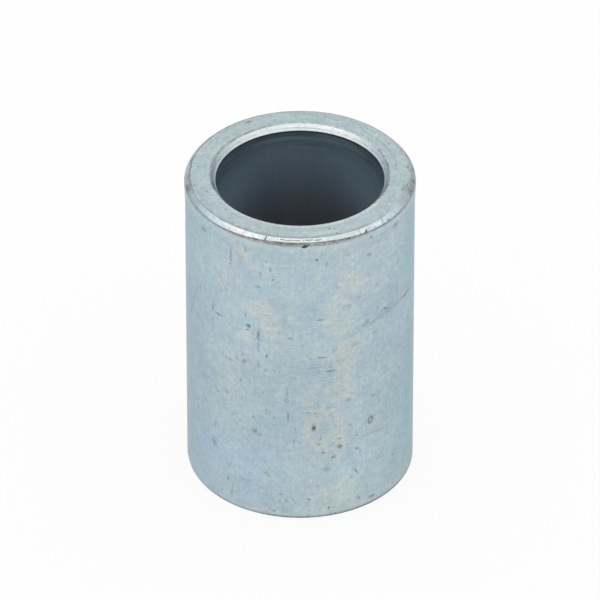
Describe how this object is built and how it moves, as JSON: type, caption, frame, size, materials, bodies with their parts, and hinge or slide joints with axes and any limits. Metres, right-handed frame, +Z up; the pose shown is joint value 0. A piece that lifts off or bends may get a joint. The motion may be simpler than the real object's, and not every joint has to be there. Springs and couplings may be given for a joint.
{
  "type": "clutch spacer",
  "caption": "Plain round steel spacer tube with a chamfered rim and a smooth through bore, which slides over a shaft to hold a clutch at its distance.",
  "frame": {"origin": "centre of the lower end face, on the bore's axis", "axes": "+Z up the bore, from the lower end face to the upper one, whose rim has the wide chamfer and the lip; +X and +Y are free, because the tube is round"},
  "size_m": [0.0352, 0.0352, 0.0524],
  "materials": {
    "zinc_plate": "dull bright zinc plate with a faint blue cast, over drawn steel tube"
  },
  "bodies": {
    "root": {"spacer_tube": "zinc_plate"}
  },
  "joints": []
}
